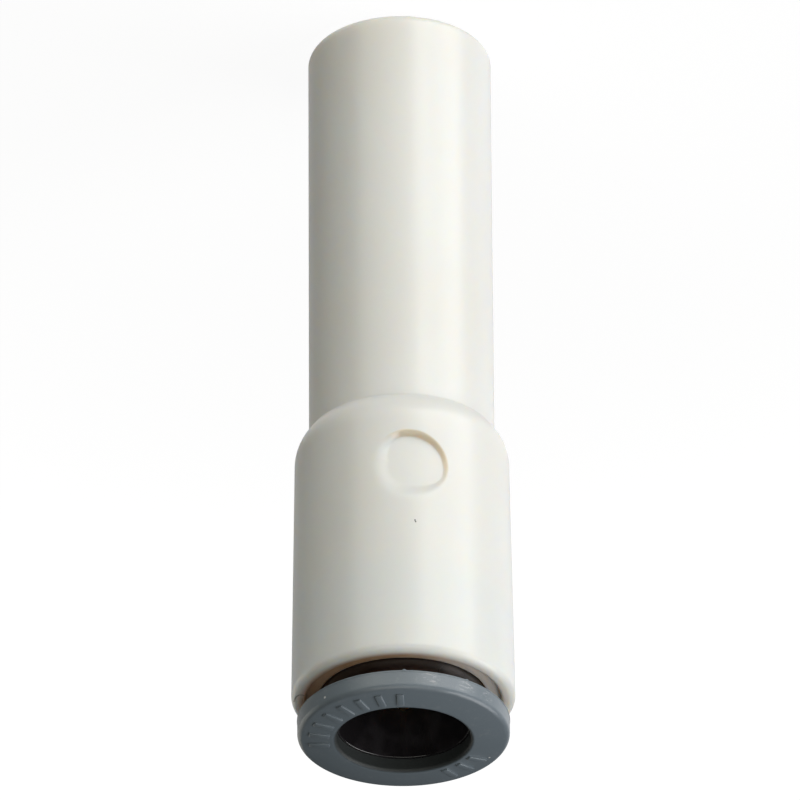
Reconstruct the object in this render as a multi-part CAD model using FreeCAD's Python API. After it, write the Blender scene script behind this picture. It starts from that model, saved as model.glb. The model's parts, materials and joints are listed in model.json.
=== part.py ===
import FreeCAD
import Part

import math
import os

# A push-in reducer for water tubing.
# A plain stem at the bottom plugs into a larger push-in socket.
# The barrel above it holds its own, smaller push-in socket, which opens upwards.
# Z is the axis of both. Z = 0 is the free end of the stem, on which the fitting stands.
# Millimetres throughout. A radius is written as half of a named diameter.

# Tube sizes that the fitting joins
tube_diameter = 6.35
stem_diameter = 9.525

# Moulded body, outside
stem_length = 22.8
stem_end_round = 0.5
shoulder_angle = 43.0
shoulder_round = 2.3
shoulder_root_round = 0.3
barrel_length = 15.2
barrel_foot_diameter = 10.98
barrel_mouth_diameter = 11.38
mouth_round = 0.42

# Moulded body, inside
stem_bore_diameter = 6.4
stem_bore_chamfer = 0.3
stop_hole_diameter = 5.0
stop_collar_thickness = 1.2
stop_collar_cone_length = 0.6
tube_seat_diameter = 6.45
tube_seat_chamfer = 0.3
tube_insertion_depth = 13.5
seal_chamber_diameter = 9.44
mouth_bore_diameter = 10.15

# Round recess for a mark, on the front of the barrel
mark_recess_diameter = 3.5
mark_recess_depth = 0.24
mark_recess_bevel = 0.2
mark_recess_rise = 3.72
mark_recess_turn = -4.1

# Retaining ring, pressed into the mouth
retaining_ring_inset = 0.22
retaining_ring_length = 4.7
retaining_ring_land = 1.3
retaining_cone_length = 2.4
retaining_cone_rise = 0.34
retaining_edge_bevel = 0.15

# Collet
collet_neck_diameter = 8.4
collet_bore_diameter = 6.6
collet_length = 6.3
finger_count = 6
slot_width = 0.7
slot_length = 3.6
finger_nose_length = 0.45
finger_nose_drop = 0.35

# Steel grip teeth, one in each finger
tooth_thickness = 0.25
tooth_arc = 34.0
tooth_bite = 0.08
tooth_slope = 50.0
tooth_root_depth = 0.6
tooth_height_in_finger = 0.9
tooth_point_count = 3
tooth_notch_depth = 0.16

# Release ring, pushed on to the collet's neck
release_ring_diameter = 10.8
release_ring_bore_diameter = 6.76
release_ring_thickness = 1.1
release_ring_seat_depth = 0.4
release_ring_face_round = 0.32
release_ring_bore_bevel = 0.16

# Seal and its washer
seal_height = 2.2
seal_squeeze = 0.12
seal_lip_bevel = 0.75
washer_thickness = 0.8
washer_bore_clearance = 0.18

# Clearances and travel
push_fit_gap = 0.01
running_gap = 0.06
cone_gap = 0.05
washer_gap = 0.05
release_ring_gap = 1.1
release_travel = 1.0
travel_reserve = 0.15

# Heights that several pieces share
mouth_height = stem_length + barrel_length
tube_stop_height = mouth_height - tube_insertion_depth
ring_back_height = mouth_height + release_ring_gap
ring_face_height = ring_back_height + release_ring_thickness
collet_front_height = ring_back_height + release_ring_seat_depth
collet_rear_height = collet_front_height - collet_length
retaining_front_height = mouth_height - retaining_ring_inset
retaining_rear_height = retaining_front_height - retaining_ring_length
washer_front_height = collet_rear_height - release_travel - travel_reserve
washer_rear_height = washer_front_height - washer_thickness
chamber_floor_height = washer_rear_height - seal_height

# Radii that several pieces share
stem_radius = stem_diameter / 2
neck_radius = collet_neck_diameter / 2
collet_bore_radius = collet_bore_diameter / 2
mouth_bore_radius = mouth_bore_diameter / 2
seal_chamber_radius = seal_chamber_diameter / 2
retaining_bore_radius = neck_radius + running_gap
tooth_tip_radius = tube_diameter / 2 - tooth_bite

# The most of a wall that the roundings at its two ends may take up
rounding_share = 0.98

# A rounding under this radius is made of straight bevels, each turning the wall by up to this angle
smallest_arc = 1.0
bevel_turn = 50.0


def corner_setback(before, corner, after, wanted_round):
    """How far from a corner its rounding starts, and half of the corner's angle."""
    half_angle = (before - corner).getAngle(after - corner) / 2
    if wanted_round <= 0 or math.pi / 2 - half_angle < 1e-6:
        return 0.0, half_angle
    return wanted_round / math.tan(half_angle), half_angle


def corner_points(before, corner, after, setback, half_angle):
    """Gives points along a corner's rounding: three for an arc, or the ends of its bevels."""
    if setback <= 0:
        return [corner]
    towards_before = (before - corner).normalize()
    towards_after = (after - corner).normalize()
    middle = (towards_before + towards_after).normalize()
    radius = setback * math.tan(half_angle)
    centre = corner + middle * (radius / math.sin(half_angle))
    start = corner + towards_before * setback
    end = corner + towards_after * setback
    if radius >= smallest_arc:
        return [start, centre - middle * radius, end]
    across = (end - start).normalize()
    turn = math.pi - 2 * half_angle
    steps = math.ceil(turn / math.radians(bevel_turn))
    angles = [turn * (step / steps - 0.5) for step in range(steps + 1)]
    return [centre + (across * math.sin(a) - middle * math.cos(a)) * radius for a in angles]


def section(corners):
    """Makes a flat face in the XZ plane from corners given as (radius, height, round of the corner).

    Where two roundings need more than the whole wall between them, both shrink until they fit it.
    """
    count = len(corners)
    points = [FreeCAD.Vector(radius, 0, height) for radius, height, _ in corners]
    around = [(points[i - 1], points[i], points[(i + 1) % count]) for i in range(count)]
    wanted = [corner_setback(*around[i], corners[i][2]) for i in range(count)]
    room = []
    for i in range(count):
        length = (points[(i + 1) % count] - points[i]).Length
        needed = wanted[i][0] + wanted[(i + 1) % count][0]
        room.append(min(1.0, rounding_share * length / needed) if needed > 0 else 1.0)
    path = []
    for i, (setback, half_angle) in enumerate(wanted):
        fitting = setback * min(room[i - 1], room[i])
        is_arc = fitting * math.tan(half_angle) >= smallest_arc
        path.append((is_arc, corner_points(*around[i], fitting, half_angle)))
    edges = []
    for i, (is_arc, stretch) in enumerate(path):
        following = path[(i + 1) % count][1][0]
        if is_arc:
            edges.append(Part.Arc(*stretch).toShape())
            stretch = stretch[-1:]
        for a, b in zip(stretch, stretch[1:] + [following]):
            edges.append(Part.LineSegment(a, b).toShape())
    return Part.Face(Part.Wire(edges))


def turned(corners, degrees=360.0):
    """Turns a section about the Z axis."""
    axis_point = FreeCAD.Vector(0, 0, 0)
    axis = FreeCAD.Vector(0, 0, 1)
    return section(corners).revolve(axis_point, axis, degrees)


def about_axis(shape, degrees):
    """Gives a copy of a shape, turned about the Z axis."""
    copy = shape.copy()
    copy.rotate(FreeCAD.Vector(0, 0, 0), FreeCAD.Vector(0, 0, 1), degrees)
    return copy


def barrel_foot_height():
    """Height at which the shoulder's cone would meet the barrel's side."""
    step = (barrel_foot_diameter - stem_diameter) / 2
    return stem_length + step / math.tan(math.radians(shoulder_angle))


def barrel_radius_at(height):
    """Radius of the barrel's slightly tapered side at a height."""
    foot_height = barrel_foot_height()
    share = (height - foot_height) / (mouth_height - foot_height)
    spread = barrel_mouth_diameter - barrel_foot_diameter
    return (barrel_foot_diameter + share * spread) / 2


def mark_recess():
    """A shallow round pocket whose floor follows the barrel's side."""
    middle = barrel_foot_height() + mark_recess_rise
    plug = Part.makeCylinder(
        mark_recess_diameter / 2,
        barrel_mouth_diameter,
        FreeCAD.Vector(0, 0, middle),
        FreeCAD.Vector(0, -1, 0),
    )
    low = middle - mark_recess_diameter
    high = middle + mark_recess_diameter
    core = Part.makeCone(
        barrel_radius_at(low) - mark_recess_depth,
        barrel_radius_at(high) - mark_recess_depth,
        high - low,
        FreeCAD.Vector(0, 0, low),
    )
    return about_axis(plug.cut(core), mark_recess_turn)


def recess_rim(body):
    """The edge along which the pocket breaks through the barrel's side."""
    rim = []
    for edge in body.Edges:
        start = edge.valueAt(edge.FirstParameter)
        side_gap = math.hypot(start.x, start.y) - barrel_radius_at(start.z)
        round_rim = edge.BoundBox.ZLength > mark_recess_diameter / 2
        if round_rim and edge.isClosed() and abs(side_gap) < mark_recess_depth / 10:
            rim.append(edge)
    return rim


def fitting_body():
    """The one-piece moulding: stem, shoulder, barrel and every bore inside."""
    stem_bore_radius = stem_bore_diameter / 2
    stop_hole_radius = stop_hole_diameter / 2
    tube_seat_radius = tube_seat_diameter / 2
    collar_height = tube_stop_height - stop_collar_thickness
    cone_height = collar_height - stop_collar_cone_length
    outside = [
        (stem_radius, 0, stem_end_round),
        (stem_radius, stem_length, shoulder_root_round),
        (barrel_foot_diameter / 2, barrel_foot_height(), shoulder_round),
        (barrel_mouth_diameter / 2, mouth_height, mouth_round),
    ]
    inside = [
        (mouth_bore_radius, mouth_height, 0),
        (mouth_bore_radius, retaining_rear_height, 0),
        (seal_chamber_radius, retaining_rear_height, 0),
        (seal_chamber_radius, chamber_floor_height, 0),
        (tube_seat_radius + tube_seat_chamfer, chamber_floor_height, 0),
        (tube_seat_radius, chamber_floor_height - tube_seat_chamfer, 0),
        (tube_seat_radius, tube_stop_height, 0),
        (stop_hole_radius, tube_stop_height, 0),
        (stop_hole_radius, collar_height, 0),
        (stem_bore_radius, cone_height, 0),
        (stem_bore_radius, stem_bore_chamfer, 0),
        (stem_bore_radius + stem_bore_chamfer, 0, 0),
    ]
    body = turned(outside + inside).cut(mark_recess())
    return body.makeChamfer(mark_recess_bevel, recess_rim(body))


def retaining_ring():
    """The pressed-in ring. Its cone closes the collet's fingers when the tube is pulled."""
    outer_radius = mouth_bore_radius - push_fit_gap
    cone_front = retaining_front_height - retaining_ring_land
    cone_rear = cone_front - retaining_cone_length
    wide_radius = retaining_bore_radius + retaining_cone_rise
    return turned(
        [
            (retaining_bore_radius + retaining_edge_bevel, retaining_front_height, 0),
            (outer_radius, retaining_front_height, 0),
            (outer_radius, retaining_rear_height, 0),
            (wide_radius, retaining_rear_height, 0),
            (wide_radius, cone_rear, 0),
            (retaining_bore_radius, cone_front, 0),
            (retaining_bore_radius, retaining_front_height - retaining_edge_bevel, 0),
        ]
    )


def tube_seal():
    """The elastic seal: flat where it meets its chamber, tapered to a lip where it grips the tube."""
    inner_radius = tube_diameter / 2 - seal_squeeze
    outer_radius = seal_chamber_radius - push_fit_gap
    lower = chamber_floor_height
    upper = chamber_floor_height + seal_height
    bevel = seal_lip_bevel
    return turned(
        [
            (inner_radius, lower + bevel, 0),
            (inner_radius + bevel, lower, 0),
            (outer_radius, lower, 0),
            (outer_radius, upper, 0),
            (inner_radius + bevel, upper, 0),
            (inner_radius, upper - bevel, 0),
        ]
    )


def seal_washer():
    """The loose washer that keeps the collet's fingers off the seal."""
    inner_radius = tube_diameter / 2 + washer_bore_clearance
    outer_radius = seal_chamber_radius - washer_gap
    lower = washer_rear_height + push_fit_gap
    return turned(
        [
            (inner_radius, lower, 0),
            (outer_radius, lower, 0),
            (outer_radius, washer_front_height, 0),
            (inner_radius, washer_front_height, 0),
        ]
    )


def tooth_strip():
    """The blank of a tooth: a sloping strip of a cone, centred on +X."""
    slope = math.radians(tooth_slope)
    tip_height = collet_rear_height + tooth_height_in_finger
    root_radius = collet_bore_radius + tooth_root_depth
    rise = (root_radius - tooth_tip_radius) / math.tan(slope)
    lift = tooth_thickness / math.sin(slope)
    strip = turned(
        [
            (tooth_tip_radius, tip_height, 0),
            (root_radius, tip_height + rise, 0),
            (root_radius, tip_height + rise + lift, 0),
            (tooth_tip_radius, tip_height + lift, 0),
        ],
        tooth_arc,
    )
    return about_axis(strip, -tooth_arc / 2)


def grip_tooth(angle):
    """A tooth in its finger, cut to points along the edge that bites the tube."""
    tooth = tooth_strip()
    pitch = tooth_arc / tooth_point_count
    half_width = tooth_tip_radius * math.tan(math.radians(pitch / 2))
    low = collet_rear_height
    outline = [
        FreeCAD.Vector(0, 0, low),
        FreeCAD.Vector(tooth_tip_radius, -half_width, low),
        FreeCAD.Vector(tooth_tip_radius + tooth_notch_depth, 0, low),
        FreeCAD.Vector(tooth_tip_radius, half_width, low),
        FreeCAD.Vector(0, 0, low),
    ]
    notch = Part.Face(Part.makePolygon(outline)).extrude(FreeCAD.Vector(0, 0, collet_length))
    for i in range(tooth_point_count + 1):
        tooth = tooth.cut(about_axis(notch, i * pitch - tooth_arc / 2))
    return about_axis(tooth, angle)


def finger_slot():
    """A slot with a round end, cut outwards from the axis along +X."""
    reach = collet_neck_diameter
    half = slot_width / 2
    round_end_height = collet_rear_height + slot_length - half
    straight = Part.makeBox(
        reach,
        slot_width,
        round_end_height - collet_rear_height + half,
        FreeCAD.Vector(0, -half, collet_rear_height - half),
    )
    round_end = Part.makeCylinder(
        half,
        reach,
        FreeCAD.Vector(0, 0, round_end_height),
        FreeCAD.Vector(1, 0, 0),
    )
    return straight.fuse(round_end)


def finger_angles():
    """Where the middle of each finger points, in degrees from +X."""
    return [i * 360.0 / finger_count for i in range(finger_count)]


def collet():
    """The slotted tube: a plain neck and six fingers with cone-shaped heads."""
    head_radius = retaining_bore_radius + retaining_cone_rise - cone_gap
    cone_front = retaining_front_height - retaining_ring_land
    cone_rear = cone_front - retaining_cone_length
    cone_slope = retaining_cone_rise / retaining_cone_length
    head_front = cone_front - (neck_radius - retaining_bore_radius + cone_gap) / cone_slope
    nose_height = collet_rear_height + finger_nose_length
    outside = [
        (neck_radius, collet_front_height, 0),
        (neck_radius, head_front, 0),
        (head_radius, cone_rear, 0),
        (head_radius, nose_height, 0),
        (head_radius - finger_nose_drop, collet_rear_height, 0),
    ]
    inside = [
        (collet_bore_radius, collet_rear_height, 0),
        (collet_bore_radius, collet_front_height, 0),
    ]
    tube = turned(outside + inside)
    half_pitch = 180.0 / finger_count
    for angle in finger_angles():
        tube = tube.cut(about_axis(finger_slot(), angle + half_pitch))
        tube = tube.cut(about_axis(tooth_strip(), angle))
    return tube


def release_ring():
    """The ring that a finger presses. The collet's neck seats in its back."""
    outer_radius = release_ring_diameter / 2
    bore_radius = release_ring_bore_diameter / 2
    seat_radius = neck_radius + push_fit_gap
    return turned(
        [
            (bore_radius + release_ring_bore_bevel, ring_face_height, 0),
            (outer_radius, ring_face_height, release_ring_face_round),
            (outer_radius, ring_back_height, 0),
            (seat_radius, ring_back_height, 0),
            (seat_radius, collet_front_height, 0),
            (bore_radius, collet_front_height, 0),
            (bore_radius, ring_face_height - release_ring_bore_bevel, 0),
        ]
    )


def save(name, shape):
    """Writes one piece and reports its size."""
    shape.exportStep("parts/" + name + ".step")
    print(name, len(shape.Solids), "solid", round(shape.Volume, 3), "mm3", shape.isValid())


os.makedirs("parts", exist_ok=True)
save("fitting_body", fitting_body())
save("retaining_ring", retaining_ring())
save("tube_seal", tube_seal())
save("seal_washer", seal_washer())
save("collet", collet())
save("release_ring", release_ring())
for number, finger_angle in enumerate(finger_angles(), start=1):
    save("grip_tooth_" + str(number), grip_tooth(finger_angle))
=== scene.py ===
import json
import math
import random

import bmesh
import bpy
from mathutils import Matrix, Vector


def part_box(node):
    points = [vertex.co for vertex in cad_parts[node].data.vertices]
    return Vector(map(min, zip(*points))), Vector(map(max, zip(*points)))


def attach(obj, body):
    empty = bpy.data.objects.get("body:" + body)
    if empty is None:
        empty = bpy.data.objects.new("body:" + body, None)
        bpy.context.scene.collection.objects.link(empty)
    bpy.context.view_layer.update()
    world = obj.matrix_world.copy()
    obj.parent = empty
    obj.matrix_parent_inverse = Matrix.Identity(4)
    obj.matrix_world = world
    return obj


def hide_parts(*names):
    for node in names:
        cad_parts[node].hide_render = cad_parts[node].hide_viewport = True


# A push-in reducer for water tubing, standing on its stem with the release ring on top.
# The dictionaries hold millimetres and degrees; a mesh is made in metres.
# An angle round the fitting counts from the front (-Y) and is positive towards +X.

mm = 0.001
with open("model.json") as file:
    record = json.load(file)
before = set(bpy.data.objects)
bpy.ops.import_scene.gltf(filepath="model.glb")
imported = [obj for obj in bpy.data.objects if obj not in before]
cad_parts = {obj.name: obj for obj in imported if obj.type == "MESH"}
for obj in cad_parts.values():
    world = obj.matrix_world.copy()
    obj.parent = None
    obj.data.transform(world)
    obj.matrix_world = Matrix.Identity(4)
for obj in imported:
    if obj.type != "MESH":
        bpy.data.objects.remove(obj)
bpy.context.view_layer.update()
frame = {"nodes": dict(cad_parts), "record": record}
mounts = {mount["name"]: mount["dims"] for mount in frame["record"]["mounts"]}


def heights(node):
    low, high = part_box(node)
    return low.z / mm, high.z / mm


mouthHeight = heights("fitting_body")[1]
colletRear, colletFront = heights("collet")
ringBack, ringFace = heights("release_ring")
keeperRear, keeperFront = heights("retaining_ring")
washerRear, washerFront = heights("seal_washer")
sealRear, sealFront = heights("tube_seal")
print("frame loaded")


# Camera

cameraView = {
    "distance": 600.0,
    "elevation": 29.644,
    "lookAt": (0.077, 0.0, 20.449),
    "roll": 179.646,
    "lens": 524.95,
    "sensor": 36.0,
    "seesFrom": 10.0,
    "seesTo": 20000.0,
}


def makeCamera(view):
    data = bpy.data.cameras.new("photoCamera")
    data.lens = view["lens"]
    data.sensor_width = view["sensor"]
    data.clip_start = view["seesFrom"] * mm
    data.clip_end = view["seesTo"] * mm
    camera = bpy.data.objects.new("photoCamera", data)
    bpy.context.scene.collection.objects.link(camera)
    elevation = math.radians(view["elevation"])
    roll = math.radians(view["roll"])
    forward = Vector((0, math.cos(elevation), -math.sin(elevation)))
    level = Vector((1, 0, 0))
    upright = Vector((0, math.sin(elevation), math.cos(elevation)))
    right = level * math.cos(roll) + upright * math.sin(roll)
    up = upright * math.cos(roll) - level * math.sin(roll)
    turn = Matrix((right, up, -forward)).transposed().to_4x4()
    place = (Vector(view["lookAt"]) - forward * view["distance"]) * mm
    camera.matrix_world = Matrix.Translation(place) @ turn
    bpy.context.scene.camera = camera


makeCamera(cameraView)
print("camera placed")


# Nodes that the materials and the modelling trees share

def addNode(tree, kind, inputs=None, **settings):
    node = tree.nodes.new(kind)
    for key, value in settings.items():
        setattr(node, key, value)
    for key, value in (inputs or {}).items():
        if isinstance(value, bpy.types.NodeSocket):
            tree.links.new(value, node.inputs[key])
        else:
            node.inputs[key].default_value = value
    return node


def calculate(tree, operation, *values):
    inputs = dict(enumerate(values))
    return addNode(tree, "ShaderNodeMath", inputs, operation=operation).outputs[0]


def vectorFrom(tree, operation, *values):
    inputs = dict(enumerate(values))
    return addNode(tree, "ShaderNodeVectorMath", inputs, operation=operation).outputs["Vector"]


def measure(tree, operation, *values):
    # a number from vectors: a distance, a length or a dot product
    inputs = dict(enumerate(values))
    return addNode(tree, "ShaderNodeVectorMath", inputs, operation=operation).outputs["Value"]


def axisValue(tree, place, axis):
    return addNode(tree, "ShaderNodeSeparateXYZ", {0: place}).outputs[axis]


def remap(tree, source, low, high, toLow=0.0, toHigh=1.0):
    inputs = {"Value": source, "From Min": low, "From Max": high, "To Min": toLow, "To Max": toHigh}
    return addNode(tree, "ShaderNodeMapRange", inputs, interpolation_type="SMOOTHSTEP").outputs[0]


def blendColor(tree, share, first, second):
    inputs = {0: share, 6: first, 7: second}
    return addNode(tree, "ShaderNodeMix", inputs, data_type="RGBA").outputs[2]


def noiseOf(tree, place, scale, detail=3.0, roughness=0.5):
    inputs = {"Vector": place, "Scale": scale, "Detail": detail, "Roughness": roughness}
    return addNode(tree, "ShaderNodeTexNoise", inputs).outputs[0]


# Materials: a noise has its scale per millimetre, its detail and, for some, its roughness;
# a range holds the noise values between which a blend or the gloss goes from one end to the other

def startMaterial(name):
    material = bpy.data.materials.new(name)
    material.use_nodes = True
    tree = material.node_tree
    shader = tree.nodes["Principled BSDF"]
    place = addNode(tree, "ShaderNodeTexCoord").outputs["Object"]
    scaled = addNode(tree, "ShaderNodeMapping", {"Vector": place, "Scale": (1 / mm, 1 / mm, 1 / mm)})
    return material, tree, shader, scaled.outputs[0]


def useColor(tree, shader, color):
    tree.links.new(color, shader.inputs["Base Color"])


def useGloss(tree, shader, pattern, finish):
    # the denoiser leaves an edge where roughness crosses 0.27, so each finish stays on one side of it
    low, high = finish["glossRange"]
    gloss = remap(tree, pattern, low, high, finish["smoothest"], finish["roughest"])
    tree.links.new(gloss, shader.inputs["Roughness"])
    return gloss


def useBump(tree, shader, height, distance):
    inputs = {"Height": height, "Distance": distance * mm, "Strength": 1.0}
    bump = addNode(tree, "ShaderNodeBump", inputs).outputs[0]
    tree.links.new(bump, shader.inputs["Normal"])


def spotMask(tree, place, point, radius, softness=0.4):
    away = measure(tree, "DISTANCE", place, point)
    return remap(tree, away, radius * (1 - softness), radius, 1.0, 0.0)


def offCenter(tree, place):
    # distance from the fitting's axis, in millimetres
    return measure(tree, "LENGTH", vectorFrom(tree, "MULTIPLY", place, (1, 1, 0)))


def insideMask(tree, place, radius, blur):
    # 1 nearer to the axis than the radius
    return remap(tree, offCenter(tree, place), radius - blur, radius + blur, 1.0, 0.0)


def lineMask(tree, place, points, core, width):
    # a thin line through the points, full in its core and gone at its width
    mask = 0.0
    for first, second in zip(points, points[1:]):
        along = Vector(second) - Vector(first)
        offset = vectorFrom(tree, "SUBTRACT", place, first)
        reach = measure(tree, "DOT_PRODUCT", offset, along / along.length_squared)
        reach = addNode(tree, "ShaderNodeClamp", {0: reach}).outputs[0]
        foot = vectorFrom(tree, "MULTIPLY", along, reach)
        away = measure(tree, "DISTANCE", offset, foot)
        mask = calculate(tree, "MAXIMUM", mask, remap(tree, away, core, width, 1.0, 0.0))
    return mask


def slopeMask(tree, place, origin, direction, low, high):
    # rises from 0 to 1 along a direction
    offset = vectorFrom(tree, "SUBTRACT", place, origin)
    return remap(tree, measure(tree, "DOT_PRODUCT", offset, Vector(direction).normalized()), low, high)


ivory = {
    "color": (0.717, 0.722, 0.703, 1),
    "warmer": (0.708, 0.705, 0.672, 1),
    "cloud": (0.12, 3.0),
    "toneRange": (0.35, 0.7),
    "glossCloud": (0.35, 2.0),
    "glossRange": (0.2, 0.8),
    "smoothest": 0.285,
    "roughest": 0.325,
    "grain": (3.0, 1.0),
    "grainHeight": 0.002,
    "scatter": 0.8,
    "scatterReach": 1.5,
    "scatterColor": (1.0, 0.76, 0.52),
    # painted shade inside the mouth: its colour, where it lies, and how it lessens towards the -X side
    "paintedShadeColor": (0.55, 0.32, 0.19, 1),
    "insideRadius": 5.2,
    "insideBlur": 0.25,
    "insideFrom": 36.0,
    "insideFully": 37.0,
    "leastPaintedShade": 0.3,
    "paintedShadeAcross": (-5.0, 1.0),
    # painted shade on the recess's far wall: where the recess lies, the wall's span and the shade's colour
    "recessAt": (-0.396, -5.525, 27.30),
    "recessRim": 2.03,
    "recessWall": 0.23,
    "recessRimBlur": 0.05,
    "recessFootBlur": (0.08, 0.1),
    "recessShadeColor": (0.70, 0.63, 0.51, 1),
    "recessFarSide": (-0.6, 0, -0.8),
    "recessFarReach": (0.1, 1.3),
    "dirt": (0.06, 0.055, 0.05, 1),
    "specks": [((-0.645, -5.548, 30.60), 0.055), ((-0.675, -5.548, 30.69), 0.05)],
    "hair": [
        (5.00, -0.78, 38.06),
        (5.13, -0.86, 38.08),
        (5.28, -0.85, 38.08),
        (5.41, -0.66, 38.06),
        (5.49, -0.36, 38.04),
        (5.55, 0.01, 38.02),
    ],
    "hairCore": 0.0165,
    "hairWidth": 0.055,
    "hairShare": 0.6,
}

# the rings inside the mouth are of the same plastic, with a finer surface; they are given painted shade all
# over
ringIvory = dict(
    ivory,
    cloud=(0.5, 4.0),
    glossRange=(0.3, 0.7),
    roughest=0.385,
    grain=(9.0, 2.0),
    grainHeight=0.003,
    leastPaintedShade=0.4,
)


def scatterLight(shader, finish):
    shader.inputs["Subsurface Weight"].default_value = finish["scatter"]
    shader.inputs["Subsurface Radius"].default_value = finish["scatterColor"]
    shader.inputs["Subsurface Scale"].default_value = finish["scatterReach"] * mm


def ivoryTone(tree, cloud, finish):
    tone = remap(tree, cloud, *finish["toneRange"])
    return blendColor(tree, tone, finish["color"], finish["warmer"])


def paintedShadeShare(tree, place, finish):
    # how much painted shade the plastic inside the mouth gets: least on the -X side, where the lamps are,
    # fully from the middle on
    low, high = finish["paintedShadeAcross"]
    return remap(tree, axisValue(tree, place, "X"), low, high, finish["leastPaintedShade"], 1.0)


def ivoryShade(name, finish):
    # the rings inside the mouth, with painted shade all over them, least on the -X side
    material, tree, shader, place = startMaterial(name)
    cloud = noiseOf(tree, place, *finish["cloud"])
    paintedShade = paintedShadeShare(tree, place, finish)
    useColor(tree, shader, blendColor(tree, paintedShade, ivoryTone(tree, cloud, finish), finish["paintedShadeColor"]))
    useGloss(tree, shader, cloud, finish)
    useBump(tree, shader, noiseOf(tree, place, *finish["grain"]), finish["grainHeight"])
    scatterLight(shader, finish)
    return material


def insidePaintedShade(tree, place, finish):
    # painted shade on the moulding's own bore, near the mouth only
    mask = insideMask(tree, place, finish["insideRadius"], finish["insideBlur"])
    nearMouth = remap(tree, axisValue(tree, place, "Z"), finish["insideFrom"], finish["insideFully"])
    mask = calculate(tree, "MULTIPLY", mask, nearMouth)
    return calculate(tree, "MULTIPLY", mask, paintedShadeShare(tree, place, finish))


def recessWallPaintedShade(tree, place, finish):
    # painted shade on the steep wall at the recess's far side, between its rim and its floor
    away = measure(tree, "DISTANCE", place, finish["recessAt"])
    rim = finish["recessRim"]
    foot = rim - finish["recessWall"]
    rimBlur = finish["recessRimBlur"]
    inward, outward = finish["recessFootBlur"]
    withinRim = remap(tree, away, rim - rimBlur, rim + rimBlur, 1.0, 0.0)
    offFloor = remap(tree, away, foot - inward, foot + outward)
    onWall = calculate(tree, "MULTIPLY", withinRim, offFloor)
    farSide = slopeMask(tree, place, finish["recessAt"], finish["recessFarSide"], *finish["recessFarReach"])
    return calculate(tree, "MULTIPLY", onWall, farSide)


def ivoryDirt(tree, place, finish):
    # a dark speck on the barrel and a hair that lies over the mouth's rim
    hair = lineMask(tree, place, finish["hair"], finish["hairCore"], finish["hairWidth"])
    dirt = calculate(tree, "MULTIPLY", hair, finish["hairShare"])
    for point, radius in finish["specks"]:
        dirt = calculate(tree, "MAXIMUM", dirt, spotMask(tree, place, point, radius))
    return dirt


def ivoryPolymer(name, finish):
    material, tree, shader, place = startMaterial(name)
    color = ivoryTone(tree, noiseOf(tree, place, *finish["cloud"]), finish)
    # painted shade inside the mouth
    color = blendColor(tree, insidePaintedShade(tree, place, finish), color, finish["paintedShadeColor"])
    # painted shade on the recess's far wall
    color = blendColor(tree, recessWallPaintedShade(tree, place, finish), color, finish["recessShadeColor"])
    color = blendColor(tree, ivoryDirt(tree, place, finish), color, finish["dirt"])
    useColor(tree, shader, color)
    useGloss(tree, shader, noiseOf(tree, place, *finish["glossCloud"]), finish)
    useBump(tree, shader, noiseOf(tree, place, *finish["grain"]), finish["grainHeight"])
    scatterLight(shader, finish)
    return material


grey = {
    "color": (0.145, 0.174, 0.199, 1),
    "scuffed": (0.20, 0.225, 0.24, 1),
    "scuffs": (2.4, 5.0, 0.65),
    "scuffRange": (0.56, 0.75),
    "cloud": (0.6, 4.0),
    "glossRange": (0.3, 0.7),
    "smoothest": 0.285,
    "roughest": 0.365,
    # the wall of the hole is painted near black and made rougher
    "boreColor": (0.020, 0.024, 0.024, 1),
    "boreRadius": 3.53,
    "boreBlur": 0.09,
    "boreRoughness": 0.6,
    "crownSlope": 0.07,
    "crownCurve": 0.045,
    "grain": (14.0, 3.0),
    "grainHeight": 0.006,
    "scratched": [(-1.44, -5.19, 39.5), (-3.2, -4.33, 39.55), (-4.2, -3.37, 39.5)],
    "scratchReach": 0.75,
    "scratchFade": 0.9,
    "scratches": (1.0, 5.0, 0.7),
    "scratchStretch": (3, 3, 9),
    "scratchRange": (0.5, 0.72),
    "scratchColor": (0.36, 0.37, 0.37, 1),
    "specks": [(3.953, -3.656, 39.73), (-4.358, 2.087, 40.2)],
    "speckSize": 0.075,
    "speckColor": (0.6, 0.6, 0.58, 1),
}


def stretched(tree, place, scale):
    return addNode(tree, "ShaderNodeMapping", {"Vector": place, "Scale": scale}).outputs[0]


def scratchedColor(tree, place, finish, color):
    # paler streaks along the ring's side, in a few worn places
    along = stretched(tree, place, finish["scratchStretch"])
    streaks = remap(tree, noiseOf(tree, along, *finish["scratches"]), *finish["scratchRange"])
    for point in finish["scratched"]:
        patch = spotMask(tree, place, point, finish["scratchReach"], finish["scratchFade"])
        worn = calculate(tree, "MULTIPLY", streaks, patch)
        color = blendColor(tree, worn, color, finish["scratchColor"])
    return color


def crownFall(tree, place, finish):
    # how far the face has fallen from the hole outwards, which the light shows more than the outline
    beyond = calculate(tree, "SUBTRACT", offCenter(tree, place), finish["boreRadius"])
    slope = calculate(tree, "MULTIPLY_ADD", beyond, finish["crownCurve"], finish["crownSlope"])
    return calculate(tree, "MULTIPLY", beyond, slope)


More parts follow.
